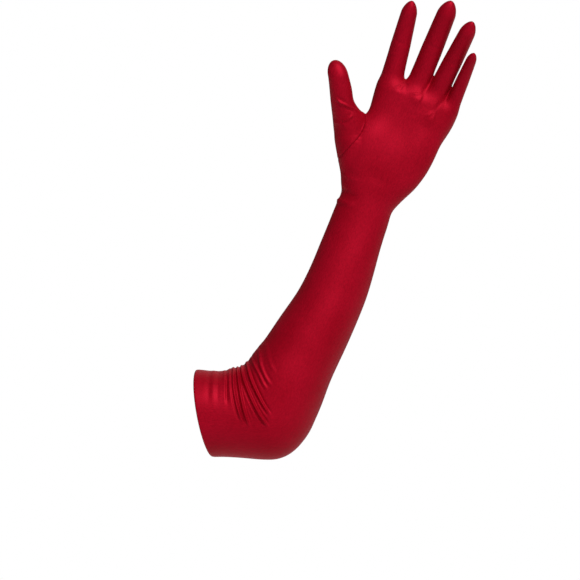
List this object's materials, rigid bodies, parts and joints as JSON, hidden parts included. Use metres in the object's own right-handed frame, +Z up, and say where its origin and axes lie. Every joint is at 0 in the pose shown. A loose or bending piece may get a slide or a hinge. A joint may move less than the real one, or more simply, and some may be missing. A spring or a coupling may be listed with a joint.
{
  "type": "long satin glove",
  "caption": "Long stretch satin glove for the left hand, kept in its worn shape: bent elbow, folds in the crook, open hand with curling fingers and a set-in thumb.",
  "frame": {"origin": "the middle of the arm opening, where the glove is held up by the arm in it", "axes": "+X into the sleeve from the arm opening, +Y from the palm towards the back of the hand, +Z up towards the fingertips"},
  "size_m": [0.2641, 0.0814, 0.4279],
  "materials": {
    "satin": "crimson stretch satin, soft sheen, fine weave",
    "thumb_satin": "crimson stretch satin, soft sheen, fine weave"
  },
  "bodies": {
    "root": {"upper_sleeve": "satin", "forearm_sleeve": "satin", "palm": "satin", "thumb": "thumb_satin", "index_finger": "satin", "middle_finger": "satin", "ring_finger": "satin", "little_finger": "satin"}
  },
  "joints": []
}
